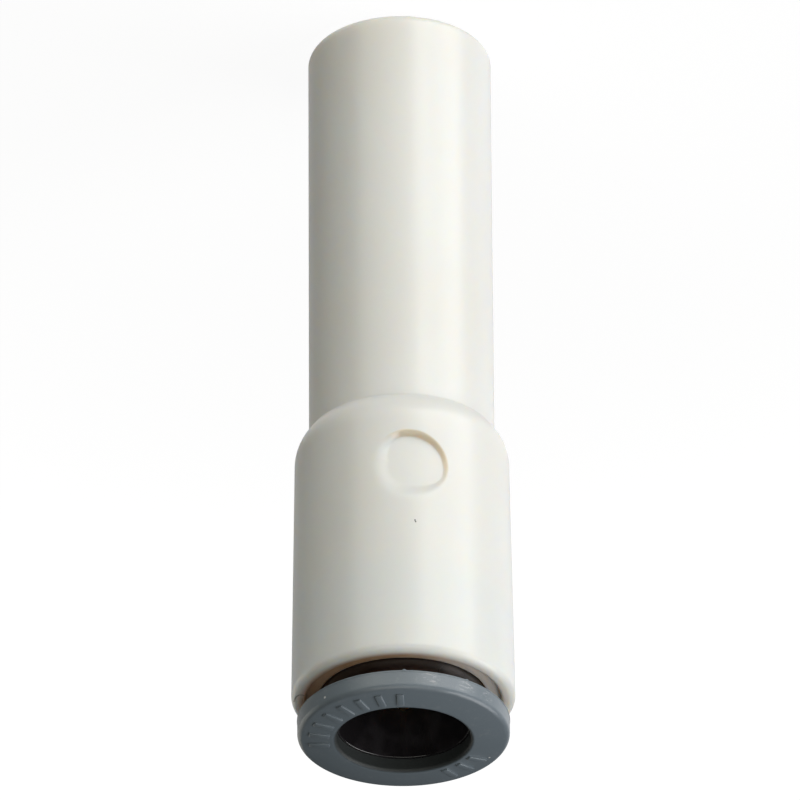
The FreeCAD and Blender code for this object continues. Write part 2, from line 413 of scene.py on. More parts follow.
def greyPolymer(name, finish):
    material, tree, shader, place = startMaterial(name)
    cloud = noiseOf(tree, place, *finish["cloud"])
    scuff = remap(tree, noiseOf(tree, place, *finish["scuffs"]), *finish["scuffRange"])
    color = blendColor(tree, calculate(tree, "MULTIPLY", scuff, cloud), finish["color"], finish["scuffed"])
    color = scratchedColor(tree, place, finish, color)
    # the wall of the hole is painted near black and made rougher
    inside = insideMask(tree, place, finish["boreRadius"], finish["boreBlur"])
    color = blendColor(tree, inside, color, finish["boreColor"])
    for point in finish["specks"]:
        speck = spotMask(tree, place, point, finish["speckSize"])
        color = blendColor(tree, speck, color, finish["speckColor"])
    useColor(tree, shader, color)
    gloss = useGloss(tree, shader, cloud, finish)
    inBore = calculate(tree, "MULTIPLY", inside, finish["boreRoughness"])
    tree.links.new(calculate(tree, "MAXIMUM", gloss, inBore), shader.inputs["Roughness"])
    grain = calculate(tree, "MULTIPLY", noiseOf(tree, place, *finish["grain"]), finish["grainHeight"])
    useBump(tree, shader, calculate(tree, "SUBTRACT", grain, crownFall(tree, place, finish)), 1.0)
    return material


black = {
    "color": (0.010, 0.009, 0.010, 1),
    "worn": (0.020, 0.018, 0.020, 1),
    # a painted sheen: a paler spot on the neck's lit side, standing in for its reflection of the rim
    "paintedSheen": (0.075, 0.068, 0.070, 1),
    "paintedSheenAt": (-2.55, -3.3, 38.6),
    "paintedSheenReach": 1.3,
    "paintedSheenFade": 0.9,
    "cloud": (0.9, 4.0),
    "wornRange": (0.4, 0.7),
    "glossRange": (0.3, 0.7),
    "smoothest": 0.14,
    "roughest": 0.24,
    "grain": (12.0, 2.0),
    "grainHeight": 0.003,
    "mirror": 0.8,
}


def blackPolymer(name, finish):
    material, tree, shader, place = startMaterial(name)
    cloud = noiseOf(tree, place, *finish["cloud"])
    worn = remap(tree, cloud, *finish["wornRange"])
    color = blendColor(tree, worn, finish["color"], finish["worn"])
    # painted sheen on the neck's lit side
    paintedSheen = spotMask(tree, place, finish["paintedSheenAt"], finish["paintedSheenReach"], finish["paintedSheenFade"])
    useColor(tree, shader, blendColor(tree, paintedSheen, color, finish["paintedSheen"]))
    useGloss(tree, shader, cloud, finish)
    useBump(tree, shader, noiseOf(tree, place, *finish["grain"]), finish["grainHeight"])
    shader.inputs["Specular IOR Level"].default_value = finish["mirror"]
    return material


rubber = {
    "color": (0.018, 0.018, 0.019, 1),
    "bloom": (0.035, 0.035, 0.036, 1),
    "cloud": (1.5, 5.0),
    "bloomRange": (0.4, 0.75),
    "glossRange": (0.2, 0.8),
    "smoothest": 0.45,
    "roughest": 0.65,
    "grain": (20.0, 3.0),
    "grainHeight": 0.005,
}


def sealRubber(name, finish):
    material, tree, shader, place = startMaterial(name)
    cloud = noiseOf(tree, place, *finish["cloud"])
    bloomed = remap(tree, cloud, *finish["bloomRange"])
    useColor(tree, shader, blendColor(tree, bloomed, finish["color"], finish["bloom"]))
    useGloss(tree, shader, cloud, finish)
    useBump(tree, shader, noiseOf(tree, place, *finish["grain"]), finish["grainHeight"])
    return material


steel = {
    "color": (0.62, 0.61, 0.59, 1),
    "dull": (0.42, 0.41, 0.4, 1),
    "brushed": (3, 3, 30),
    "grain": (1.5, 5.0),
    "dullRange": (0.35, 0.7),
    "glossRange": (0.3, 0.7),
    "smoothest": 0.28,
    "roughest": 0.46,
    "grainHeight": 0.003,
}


def toothSteel(name, finish):
    material, tree, shader, place = startMaterial(name)
    grain = noiseOf(tree, stretched(tree, place, finish["brushed"]), *finish["grain"])
    dulled = remap(tree, grain, *finish["dullRange"])
    useColor(tree, shader, blendColor(tree, dulled, finish["color"], finish["dull"]))
    useGloss(tree, shader, grain, finish)
    useBump(tree, shader, grain, finish["grainHeight"])
    shader.inputs["Metallic"].default_value = 1.0
    return material


finishes = {
    "body_polymer": ivoryPolymer("ivoryPolymer", ivory),
    "ring_polymer": ivoryShade("ivoryRingPolymerPaintedShade", ringIvory),
    "washer_polymer": ivoryShade("ivoryWasherPolymerPaintedShade", ringIvory),
    "release_ring_polymer": greyPolymer("greyPolymer", grey),
    "collet_polymer": blackPolymer("blackPolymer", black),
    "seal_rubber": sealRubber("sealRubber", rubber),
    "tooth_steel": toothSteel("toothSteel", steel),
}
print("materials made")


# Turned pieces: a profile is walked once round and a modelling tree turns it about the axis

smallRounding = 0.04
fineRounding = 0.1
fineArcSteps = 4
wideArcSteps = 12
stepsRoundBody = 288
wallShare = 0.98  # how much of a wall its two roundings may take up
guardShare = 0.3  # a guard point's distance from its arc, set against the arc's own setback


def arcSteps(rounding):
    return fineArcSteps if rounding < fineRounding else wideArcSteps


def cornerShape(corners, i):
    corner = Vector(corners[i][:2])
    back = Vector(corners[i - 1][:2]) - corner
    ahead = Vector(corners[(i + 1) % len(corners)][:2]) - corner
    half = back.angle(ahead) / 2
    return corner, back.normalized(), ahead, half, corners[i][2] / math.tan(half)


def roundedProfile(corners):
    # corners: radius, height and rounding; each becomes an arc with a guard point on either side,
    # which keeps the shading of the straight walls true
    shapes = [cornerShape(corners, i) for i in range(len(corners))]
    fit = []
    free = []
    for i, shape in enumerate(shapes):
        wanted = shape[4] + shapes[(i + 1) % len(shapes)][4]
        fit.append(min(1.0, wallShare * shape[2].length / wanted))
        free.append(max(0.0, wallShare * shape[2].length - wanted))
    outline = []
    for i, (corner, back, ahead, half, setback) in enumerate(shapes):
        setback *= min(fit[i - 1], fit[i])
        radius = setback * math.tan(half)
        middle = (back + ahead.normalized()).normalized()
        center = corner + middle * (radius / math.sin(half))
        steps = arcSteps(corners[i][2])
        turn = math.pi - 2 * half
        across = (ahead.normalized() - back).normalized()
        if free[i - 1] > 0:
            outline.append(corner + back * (setback + guardShare * min(setback, free[i - 1])))
        for step in range(steps + 1):
            angle = turn * (step / steps - 0.5)
            outline.append(center + (across * math.sin(angle) - middle * math.cos(angle)) * radius)
        if free[i] > 0:
            outline.append(corner + ahead.normalized() * (setback + guardShare * min(setback, free[i])))
    return outline


def socketOf(tree, name):
    return next(item.identifier for item in tree.interface.items_tree if item.name == name)


def openTree(name, inputs):
    tree = bpy.data.node_groups.new(name, "GeometryNodeTree")
    for label, kind in inputs:
        tree.interface.new_socket(label, in_out="INPUT", socket_type="NodeSocket" + kind)
    tree.interface.new_socket("Result", in_out="OUTPUT", socket_type="NodeSocketGeometry")
    return tree, addNode(tree, "NodeGroupInput").outputs


def closeTree(tree, geometry, material):
    plain = addNode(tree, "GeometryNodeRealizeInstances", {0: geometry}).outputs[0]
    finished = addNode(tree, "GeometryNodeSetMaterial", {"Geometry": plain, "Material": material})
    output = addNode(tree, "NodeGroupOutput")
    tree.links.new(finished.outputs[0], output.inputs[0])


seamGap = 1e-4


def makeTurningTree():
    tree, given = openTree("turnAboutAxis", [
        ("Profile", "Geometry"),
        ("Steps Round", "Int"),
        ("First Angle", "Float"),
        ("Finish", "Material"),
    ])
    count = addNode(tree, "GeometryNodeAttributeDomainSize", {0: given["Profile"]}).outputs["Point Count"]
    columns = calculate(tree, "ADD", given["Steps Round"], 1)
    sheetInputs = {"Size X": 1.0, "Size Y": 1.0, "Vertices X": count, "Vertices Y": columns}
    sheet = addNode(tree, "GeometryNodeMeshGrid", sheetInputs).outputs["Mesh"]
    position = addNode(tree, "GeometryNodeInputPosition").outputs[0]
    apart = addNode(tree, "ShaderNodeSeparateXYZ", {0: position}).outputs
    lastRow = calculate(tree, "SUBTRACT", count, 1)
    rowShare = calculate(tree, "ADD", apart["X"], 0.5)
    row = calculate(tree, "ROUND", calculate(tree, "MULTIPLY", rowShare, lastRow))
    sampleInputs = {"Geometry": given["Profile"], "Value": position, "Index": row}
    sample = addNode(tree, "GeometryNodeSampleIndex", sampleInputs, data_type="FLOAT_VECTOR").outputs[0]
    point = addNode(tree, "ShaderNodeSeparateXYZ", {0: sample}).outputs
    turn = calculate(tree, "MULTIPLY", calculate(tree, "ADD", apart["Y"], 0.5), 2 * math.pi)
    angle = calculate(tree, "ADD", turn, given["First Angle"])
    side = calculate(tree, "MULTIPLY", calculate(tree, "SINE", angle), point["X"])
    front = calculate(tree, "MULTIPLY", calculate(tree, "COSINE", angle), point["X"])
    back = calculate(tree, "MULTIPLY", front, -1.0)
    place = addNode(tree, "ShaderNodeCombineXYZ", {"X": side, "Y": back, "Z": point["Z"]}).outputs[0]
    shell = addNode(tree, "GeometryNodeSetPosition", {"Geometry": sheet, "Position": place}).outputs[0]
    seam = {"Geometry": shell, "Distance": seamGap * mm}
    closed = addNode(tree, "GeometryNodeMergeByDistance", seam).outputs[0]
    smooth = addNode(tree, "GeometryNodeSetShadeSmooth", {"Geometry": closed}).outputs[0]
    closeTree(tree, smooth, given["Finish"])
    return tree


turningTree = makeTurningTree()


def chainObject(name, outline):
    mesh = bpy.data.meshes.new(name)
    points = [(point.x * mm, 0, point.y * mm) for point in outline + outline[:1]]
    mesh.from_pydata(points, [(i, i + 1) for i in range(len(points) - 1)], [])
    piece = bpy.data.objects.new(name, mesh)
    bpy.context.scene.collection.objects.link(piece)
    return piece


def runTree(piece, tree, values):
    modifier = piece.modifiers.new(tree.name, "NODES")
    modifier.node_group = tree
    for label, value in values.items():
        modifier[socketOf(tree, label)] = value
    graph = bpy.context.evaluated_depsgraph_get()
    mesh = bpy.data.meshes.new_from_object(piece.evaluated_get(graph))
    piece.modifiers.clear()
    piece.data = mesh
    mesh.materials.clear()
    mesh.materials.append(values["Finish"])
    mesh.polygons.foreach_set("material_index", [0] * len(mesh.polygons))


def facesOutward(piece):
    work = bmesh.new()
    work.from_mesh(piece.data)
    bmesh.ops.recalc_face_normals(work, faces=work.faces)
    work.to_mesh(piece.data)
    work.free()


def turnedPiece(name, outline, slot, stepsRound=stepsRoundBody, firstAngle=0.0):
    piece = chainObject(name, outline)
    values = {"Steps Round": stepsRound, "First Angle": math.radians(firstAngle), "Finish": finishes[slot]}
    runTree(piece, turningTree, values)
    facesOutward(piece)
    return piece


def register(piece, body, slot, *nodes):
    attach(piece, body)
    if nodes:
        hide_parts(*nodes)
    print("made", piece.name, len(piece.data.polygons), "faces")


# The moulded body

moulding = {
    "stemRadius": mounts["stem"]["r_mm"],
    "stemLength": 22.8,
    "stemEndRound": 0.5,
    "rootRound": 0.3,
    "shoulderAngle": 43.0,
    "shoulderRound": 2.3,
    "footRadius": 5.49,
    "mouthRadius": 5.69,
    "mouthRound": 0.34,
    "rimLift": 0.08,
    "lipBore": 4.97,
    "lipRound": 0.15,
    "lipGap": 0.01,
    "lipEdge": 0.005,
    "mouthBore": 5.075,
    "chamberRadius": 4.72,
    "seatRadius": mounts["tube_socket"]["r_mm"],
    "seatChamfer": 0.3,
    "stopHeight": 24.5,
    "stopHole": 2.5,
    "stopThickness": 1.2,
    "stopCone": 0.6,
    "stemBore": 3.2,
    "boreChamfer": 0.3,
}

keeper = {
    "bore": 4.26,
    "outer": 5.065,
    "lift": 0.06,
    "land": 1.3,
    "coneLength": 2.4,
    "coneRise": 0.34,
    "bevel": 0.08,
}

# the recess's wall is steep on the far side and the stem's side, and soft round the soft direction
roundRecess = {
    "angle": -4.1,
    "rise": 3.72,
    "rimRadius": 2.03,
    "depth": 0.25,
    "wall": 0.25,
    "softWall": 0.95,
    "softDirection": 45,
    "softReach": 0.76,
    "softShare": 1.4,
    "softCurve": 1.2,
    "flatness": 0.045,
    "tilt": -0.02,
    "lean": -0.04,
    "stepsPerSide": 40,
    "wallSteps": 14,
    "blendMargin": 1.03,
    "blendShares": (0.25, 0.5, 0.75, 1.0),
    "floorShares": (0.97, 0.85, 0.65, 0.45, 0.25, 0.1),
}


def footHeight(sizes):
    step = sizes["footRadius"] - sizes["stemRadius"]
    return sizes["stemLength"] + step / math.tan(math.radians(sizes["shoulderAngle"]))


def barrelRadius(sizes, height):
    foot = footHeight(sizes)
    share = (height - foot) / (mouthHeight - foot)
    return sizes["footRadius"] + share * (sizes["mouthRadius"] - sizes["footRadius"])


def mouldingCorners(sizes):
    collar = sizes["stopHeight"] - sizes["stopThickness"]
    lipRear = keeperFront + keeper["lift"] + sizes["lipGap"]
    rim = mouthHeight + sizes["rimLift"]
    seat = sizes["seatRadius"]
    small = smallRounding
    return [
        (sizes["stemRadius"], 0, sizes["stemEndRound"]),
        (sizes["stemRadius"], sizes["stemLength"], sizes["rootRound"]),
        (sizes["footRadius"], footHeight(sizes), sizes["shoulderRound"]),
        (sizes["mouthRadius"], rim, sizes["mouthRound"]),
        (sizes["lipBore"], rim, sizes["lipRound"]),
        (sizes["lipBore"], lipRear, sizes["lipEdge"]),
        (sizes["mouthBore"], lipRear, sizes["lipEdge"]),
        (sizes["mouthBore"], keeperRear, small),
        (sizes["chamberRadius"], keeperRear, small),
        (sizes["chamberRadius"], sealRear, small),
        (seat + sizes["seatChamfer"], sealRear, small),
        (seat, sealRear - sizes["seatChamfer"], small),
        (seat, sizes["stopHeight"], small),
        (sizes["stopHole"], sizes["stopHeight"], small),
        (sizes["stopHole"], collar, small),
        (sizes["stemBore"], collar - sizes["stopCone"], small),
        (sizes["stemBore"], sizes["boreChamfer"], small),
        (sizes["stemBore"] + sizes["boreChamfer"], 0, small),
    ]


def windowHalf(sizes, recess):
    # half the width of the square of the barrel's side that the recess is built in
    radius = barrelRadius(sizes, footHeight(sizes) + recess["rise"])
    return recess["stepsPerSide"] / 2 * 2 * math.pi / stepsRoundBody * radius


def withWindowRows(outline, sizes, recess):
    middle = footHeight(sizes) + recess["rise"]
    half = windowHalf(sizes, recess)
    steps = recess["stepsPerSide"]
    rows = [middle - half + 2 * half * i / steps for i in range(steps + 1)]
    for i, (first, second) in enumerate(zip(outline, outline[1:])):
        onBarrel = min(first.x, second.x) > sizes["stemRadius"]
        if onBarrel and first.y < rows[0] and rows[-1] < second.y:
            extra = [Vector((barrelRadius(sizes, height), height)) for height in rows]
            return outline[:i + 1] + extra + outline[i + 1:]
    return outline


def wallWidth(recess, direction):
    away = math.remainder(direction - math.radians(recess["softDirection"]), 2 * math.pi)
    softness = recess["softShare"] * max(0.0, math.cos(recess["softReach"] * away))
    softness = min(1.0, softness) ** recess["softCurve"]
    return recess["wall"] + softness * (recess["softWall"] - recess["wall"])


def recessDepth(recess, across, rise):
    # the floor is flatter than the barrel and leans a little, and the wall eases into it
    distance = math.hypot(across, rise)
    wall = wallWidth(recess, math.atan2(rise, across))
    inward = min(1.0, max(0.0, (recess["rimRadius"] - distance) / wall))
    floor = recess["depth"] - recess["flatness"] * across ** 2
    floor += recess["tilt"] * across + recess["lean"] * rise
    return inward * inward * (3 - 2 * inward) * floor


def squarePoint(half, i, perSide):
    side, along = divmod(i, perSide)
    run = -half + 2 * half * along / perSide
    return [(run, -half), (half, run), (-run, half), (-half, -run)][side]


def recessLoops(sizes, recess):
    # loops of points from the square window inwards to the middle of the floor
    half = windowHalf(sizes, recess)
    perSide = recess["stepsPerSide"]
    rim = recess["rimRadius"]
    ring = rim * recess["blendMargin"]
    square = [squarePoint(half, i, perSide) for i in range(4 * perSide)]
    directions = [math.atan2(rise, across) for across, rise in square]
    loops = [square]
    for share in recess["blendShares"]:
        loop = []
        for (across, rise), direction in zip(square, directions):
            toRing = (ring * math.cos(direction), ring * math.sin(direction))
            loop.append((across + share * (toRing[0] - across), rise + share * (toRing[1] - rise)))
        loops.append(loop)
    for step in range(recess["wallSteps"] + 1):
        loop = []
        for direction in directions:
            reach = rim - step / recess["wallSteps"] * wallWidth(recess, direction)
            loop.append((reach * math.cos(direction), reach * math.sin(direction)))
        loops.append(loop)
    floorEdge = loops[-1]
    for share in recess["floorShares"]:
        loops.append([(across * share, rise * share) for across, rise in floorEdge])
    return loops


weldGap = 1e-3


def cutRoundRecess(piece, sizes, recess):
    middle = footHeight(sizes) + recess["rise"]
    middleAngle = math.radians(recess["angle"])
    half = windowHalf(sizes, recess)
    turnRadius = barrelRadius(sizes, middle)
    work = bmesh.new()
    work.from_mesh(piece.data)
    inside = []
    for face in work.faces:
        center = face.calc_center_median() / mm
        away = abs(math.atan2(center.x, -center.y) - middleAngle) * turnRadius
        onSide = math.hypot(center.x, center.y) > sizes["stemRadius"]
        if onSide and away < half and abs(center.z - middle) < half:
            inside.append(face)
    bmesh.ops.delete(work, geom=inside, context="FACES")

    def vertexAt(across, rise):
        radius = barrelRadius(sizes, middle + rise) - recessDepth(recess, across, rise)
        angle = middleAngle + across / turnRadius
        place = Vector((math.sin(angle) * radius, -math.cos(angle) * radius, middle + rise))
        return work.verts.new(place * mm)

    loops = [[vertexAt(*point) for point in loop] for loop in recessLoops(sizes, recess)]
    count = len(loops[0])
    for outer, inner in zip(loops, loops[1:]):
        for i in range(count):
            after = (i + 1) % count
            work.faces.new((outer[i], outer[after], inner[after], inner[i])).smooth = True
    tip = vertexAt(0, 0)
    for i in range(count):
        work.faces.new((loops[-1][i], loops[-1][(i + 1) % count], tip)).smooth = True
    bmesh.ops.remove_doubles(work, verts=work.verts, dist=weldGap * mm)
    bmesh.ops.recalc_face_normals(work, faces=work.faces)
    openEdges = sum(1 for edge in work.edges if not edge.is_manifold)
    work.to_mesh(piece.data)
    work.free()
    print("round recess cut, open edges:", openEdges)


def makeMoulding(sizes, recess):
    outline = withWindowRows(roundedProfile(mouldingCorners(sizes)), sizes, recess)
    piece = turnedPiece("bodyMoulding", outline, "body_polymer", stepsRoundBody, recess["angle"] - 180)
    cutRoundRecess(piece, sizes, recess)
    register(piece, "socket_body", "body_polymer", "fitting_body")


makeMoulding(moulding, roundRecess)


# Pieces inside the socket

def makeKeeper(sizes):
    coneFront = keeperFront - sizes["land"]
    coneRear = coneFront - sizes["coneLength"]
    wide = sizes["bore"] + sizes["coneRise"]
    small = smallRounding
    front = keeperFront + sizes["lift"]
    corners = [
        (sizes["bore"], front, sizes["bevel"]),
        (sizes["outer"], front, small),
        (sizes["outer"], keeperRear, small),
        (wide, keeperRear, small),
        (wide, coneRear, small),
        (sizes["bore"], coneFront, small),
    ]
    piece = turnedPiece("keeperRing", roundedProfile(corners), "ring_polymer")
    register(piece, "socket_body", "ring_polymer", "retaining_ring")


makeKeeper(keeper)

washer = {"bore": 3.355, "outer": 4.67, "edge": 0.12}


def makeWasher(sizes):
    corners = [
        (sizes["bore"], washerRear, sizes["edge"]),
        (sizes["outer"], washerRear, sizes["edge"]),
        (sizes["outer"], washerFront, sizes["edge"]),
        (sizes["bore"], washerFront, sizes["edge"]),
    ]
    piece = turnedPiece("washerRing", roundedProfile(corners), "washer_polymer")
    register(piece, "socket_body", "washer_polymer", "seal_washer")


makeWasher(washer)

seal = {"bore": 3.055, "outer": 4.71, "lip": 0.75, "lipRound": 0.35}


def makeSeal(sizes):
    lip = sizes["lip"]
    small = smallRounding
    corners = [
        (sizes["bore"], sealRear + lip, sizes["lipRound"]),
        (sizes["bore"] + lip, sealRear, 2 * small),
        (sizes["outer"], sealRear, small),
        (sizes["outer"], sealFront, small),
        (sizes["bore"] + lip, sealFront, 2 * small),
        (sizes["bore"], sealFront - lip, sizes["lipRound"]),
    ]
    piece = turnedPiece("sealRing", roundedProfile(corners), "seal_rubber")
    register(piece, "socket_body", "seal_rubber", "tube_seal")


makeSeal(seal)

# The teeth stay the solids themselves, in steel

for node, tooth in frame["nodes"].items():
    if node.startswith("grip_tooth"):
        tooth.data.materials.clear()
        tooth.data.materials.append(finishes["tooth_steel"])
print("steel teeth finished")


# The collet: a turned tube with six slots cut up from its rear end

colletTube = {
    "neck": 4.2,
    "bore": 3.3,
    "head": 4.55,
    "headFront": 36.31,
    "coneRear": 34.08,
    "noseLength": 0.45,
    "noseDrop": 0.35,
    "slotWidth": 0.7,
    "slotLength": 3.6,
    "slotEndSteps": 16,
    "cutFrom": 1.0,
    "cutTo": 6.0,
    "cutBelow": 1.0,
    "fingers": 6,
    "stepsRound": 180,
    "sharpAngle": 35,
}


def makeSlotTree():
    tree, given = openTree("slotCutters", [
        ("Cutter", "Geometry"),
        ("Fingers", "Int"),
        ("First Angle", "Float"),
        ("Finish", "Material"),
    ])
    points = addNode(tree, "GeometryNodePoints", {"Count": given["Fingers"]}).outputs[0]
    index = addNode(tree, "GeometryNodeInputIndex").outputs[0]
    pitch = calculate(tree, "DIVIDE", 2 * math.pi, given["Fingers"])
    angle = calculate(tree, "ADD", calculate(tree, "MULTIPLY", index, pitch), given["First Angle"])
    turn = addNode(tree, "ShaderNodeCombineXYZ", {"Z": angle}).outputs[0]
    copies = addNode(tree, "GeometryNodeInstanceOnPoints",
                     {"Points": points, "Instance": given["Cutter"], "Rotation": turn}).outputs[0]
    closeTree(tree, copies, given["Finish"])
    return tree


def slotOutline(sizes):
    # straight sides that start below the collet, and a round end
    half = sizes["slotWidth"] / 2
    start = colletRear - sizes["cutBelow"]
    top = colletRear + sizes["slotLength"] - half
    steps = sizes["slotEndSteps"]
    outline = [(-half, start), (-half, top)]
    for i in range(1, steps):
        angle = math.pi * i / steps
        outline.append((-half * math.cos(angle), top + half * math.sin(angle)))
    return outline + [(half, top), (half, start)]


def slotCutter(sizes):
    # one slot along +X
    work = bmesh.new()
    outline = slotOutline(sizes)
    near, far = [[work.verts.new((reach * mm, y * mm, z * mm)) for y, z in outline]
                 for reach in (sizes["cutFrom"], sizes["cutTo"])]
    work.faces.new(near)
    work.faces.new(far[::-1])
    for i in range(len(outline)):
        after = (i + 1) % len(outline)
        work.faces.new((near[i], far[i], far[after], near[after]))
    bmesh.ops.recalc_face_normals(work, faces=work.faces)
    mesh = bpy.data.meshes.new("slotCutter")
    work.to_mesh(mesh)
    work.free()
    cutter = bpy.data.objects.new("slotCutter", mesh)
    bpy.context.scene.collection.objects.link(cutter)
    return cutter


def makeCollet(sizes):
    small = smallRounding
    corners = [
        (sizes["bore"], colletFront, small),
        (sizes["neck"], colletFront, small),
        (sizes["neck"], sizes["headFront"], small),
        (sizes["head"], sizes["coneRear"], small),
        (sizes["head"], colletRear + sizes["noseLength"], small),
        (sizes["head"] - sizes["noseDrop"], colletRear, small),
        (sizes["bore"], colletRear, small),
    ]
    piece = turnedPiece("slottedCollet", roundedProfile(corners), "collet_polymer", sizes["stepsRound"])
    cutters = slotCutter(sizes)
    pitch = 2 * math.pi / sizes["fingers"]
    values = {"Fingers": sizes["fingers"], "First Angle": pitch / 2, "Finish": finishes["collet_polymer"]}
    runTree(cutters, makeSlotTree(), values)
    boolean = piece.modifiers.new("slots", "BOOLEAN")
    boolean.operation = "DIFFERENCE"
    boolean.solver = "EXACT"
    boolean.object = cutters
    graph = bpy.context.evaluated_depsgraph_get()
    mesh = bpy.data.meshes.new_from_object(piece.evaluated_get(graph))
    piece.modifiers.clear()
    piece.data = mesh
    bpy.data.objects.remove(cutters)

    # the cut leaves a few corners that all but touch
    work = bmesh.new()
    work.from_mesh(mesh)
    bmesh.ops.remove_doubles(work, verts=work.verts, dist=weldGap * mm)
    work.to_mesh(mesh)
    work.free()
    mesh.shade_smooth()
    mesh.set_sharp_from_angle(angle=math.radians(sizes["sharpAngle"]))
    register(piece, "release_collet", "collet_polymer", "collet")


makeCollet(colletTube)


# The release ring, with its moulding flash and plain raised dashes on its face

pressRing = {
    "outer": 5.385,
    "flashStep": 0.018,
    "flashHeight": 0.13,
    "bore": 3.4,
    "boreRound": 0.2,
    "faceRound": 0.26,
    "crown": 0.16,
    "crownLift": 0.09,
    "rearBevel": 0.07,
    "seat": 4.21,
    "fineRound": 0.012,
    "stepsRound": 720,
    "burrs": [
        (-0.5, 0.07, 1.0),
        (-4.5, 0.03, 1.4),
        (-36.5, 0.045, 1.0),
        (-52.0, 0.02, 1.5),
        (24.0, 0.02, 2.0),
    ],
    "burrSpread": 0.8,
    "waves": 7,
    "waveTurns": (9, 70),
    "waviness": 0.012,
    "seed": 4,
}


def burrHeight(sizes, angle):
    # each burr has its angle, its height and its width in degrees
    height = 0.0
    for burrAngle, top, width in sizes["burrs"]:
        away = (math.degrees(angle) - burrAngle) / width
        height += top * math.exp(-away * away)
    return height


def raiseFlash(piece, sizes):
    # the thin rim left by the mould is a little uneven, with a few short burrs
    chance = random.Random(sizes["seed"])
    waves = []
    for _ in range(sizes["waves"]):
        waves.append((chance.randint(*sizes["waveTurns"]), chance.uniform(0, 2 * math.pi)))
    edge = sizes["outer"] + sizes["flashStep"]
    top = ringBack + sizes["rearBevel"] + smallRounding
    for vertex in piece.data.vertices:
        place = vertex.co / mm
        if math.hypot(place.x, place.y) < edge - smallRounding or place.z > top:
            continue
        angle = math.atan2(place.x, -place.y)
        wave = sum(math.sin(turns * angle + shift) for turns, shift in waves) / len(waves)
        burr = burrHeight(sizes, angle)
        outward = Vector((math.sin(angle), -math.cos(angle), 0))
        vertex.co += outward * burr * sizes["burrSpread"] * mm
        vertex.co.z -= (max(0.0, wave) * sizes["waviness"] + burr) * mm


def crownHeight(sizes, radius):
    # the face falls a little from the hole to the outer edge
    share = (radius - sizes["bore"]) / (sizes["outer"] - sizes["bore"])
    return ringFace + sizes["crownLift"] - sizes["crown"] * share


def makeReleaseRing(sizes):
    small = smallRounding
    fine = sizes["fineRound"]
    step = ringBack + sizes["flashHeight"]
    edge = sizes["outer"] + sizes["flashStep"]
    bevel = sizes["rearBevel"]
    corners = [
        (sizes["bore"], crownHeight(sizes, sizes["bore"]), sizes["boreRound"]),
        (sizes["outer"], crownHeight(sizes, sizes["outer"]), sizes["faceRound"]),
        (sizes["outer"], step, fine),
        (edge, step - sizes["flashStep"], fine),
        (edge, ringBack + bevel, fine),
        (edge - bevel, ringBack, fine),
        (sizes["seat"], ringBack, small),
        (sizes["seat"], colletFront, small),
        (sizes["bore"], colletFront, small),
    ]
    outline = roundedProfile(corners)
    piece = turnedPiece("releaseRing", outline, "release_ring_polymer", sizes["stepsRound"])
    raiseFlash(piece, sizes)
    register(piece, "release_collet", "release_ring_polymer", "release_ring")


makeReleaseRing(pressRing)

# an arc of dashes has its first angle, its step and its count
dashes = {
    "middleRadius": 4.3,
    "length": 1.05,
    "width": 0.36,
    "height": 0.09,
    "sunk": 0.05,
    "bevel": 0.05,
    "bevelSteps": 3,
    "longArc": (2.0, 13.5, 8),
    "shortArc": (-147.0, 13.5, 3),
}


def makeDashTree():
    tree, given = openTree("dashesOnArcs", [
        ("Dash", "Geometry"),
        ("Long Arc Count", "Int"),
        ("Long Arc First", "Float"),
        ("Long Arc Step", "Float"),
        ("Short Arc Count", "Int"),
        ("Short Arc First", "Float"),
        ("Short Arc Step", "Float"),
        ("Finish", "Material"),
    ])
    total = calculate(tree, "ADD", given["Long Arc Count"], given["Short Arc Count"])
    points = addNode(tree, "GeometryNodePoints", {"Count": total}).outputs[0]
    index = addNode(tree, "GeometryNodeInputIndex").outputs[0]
    beyond = calculate(tree, "SUBTRACT", index, given["Long Arc Count"])
    isShort = calculate(tree, "GREATER_THAN", beyond, -0.5)
    longAngle = calculate(tree, "MULTIPLY_ADD", index, given["Long Arc Step"], given["Long Arc First"])
    shortAngle = calculate(tree, "MULTIPLY_ADD", beyond, given["Short Arc Step"], given["Short Arc First"])
    spread = calculate(tree, "SUBTRACT", shortAngle, longAngle)
    angle = calculate(tree, "MULTIPLY_ADD", spread, isShort, longAngle)
    turn = addNode(tree, "ShaderNodeCombineXYZ", {"Z": angle}).outputs[0]
    copies = addNode(tree, "GeometryNodeInstanceOnPoints",
                     {"Points": points, "Instance": given["Dash"], "Rotation": turn}).outputs[0]
    smooth = addNode(tree, "GeometryNodeSetShadeSmooth", {"Geometry": copies}).outputs[0]
    closeTree(tree, smooth, given["Finish"])
    return tree


